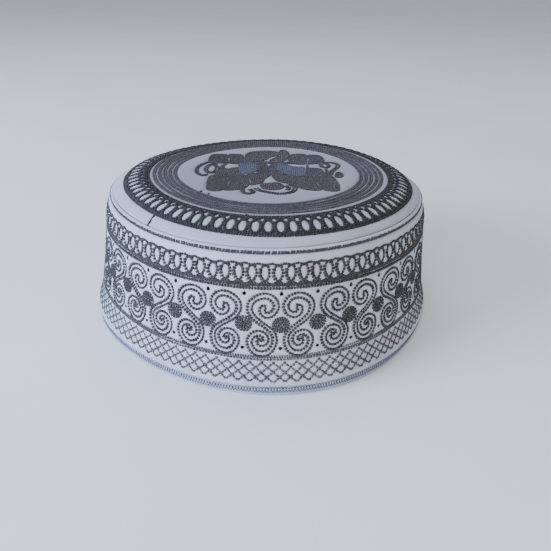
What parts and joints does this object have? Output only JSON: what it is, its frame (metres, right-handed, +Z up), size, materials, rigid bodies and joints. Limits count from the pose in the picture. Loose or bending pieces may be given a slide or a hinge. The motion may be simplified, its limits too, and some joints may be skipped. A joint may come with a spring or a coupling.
{
  "type": "embroidered cap",
  "caption": "Brimless embroidered cotton cap with a flat round crown, a tapered side band pierced by eyelets, and a bound hem.",
  "frame": {"origin": "on the surface that the cap stands on, under the middle of its outline", "axes": "+Z up from the hem to the crown; the front, which has no other mark, faces -Y"},
  "size_m": [0.1878, 0.1914, 0.0741],
  "materials": {
    "white_cotton": "matt woven cotton, stitched all over",
    "dark_thread": "charcoal embroidery thread, soft sheen",
    "hem_cotton": "pale blue-grey cotton with close zigzag stitching"
  },
  "bodies": {
    "root": {"side_band": "white_cotton", "crown_top": "white_cotton", "top_seam": "dark_thread", "rim_binding": "hem_cotton"}
  },
  "joints": []
}
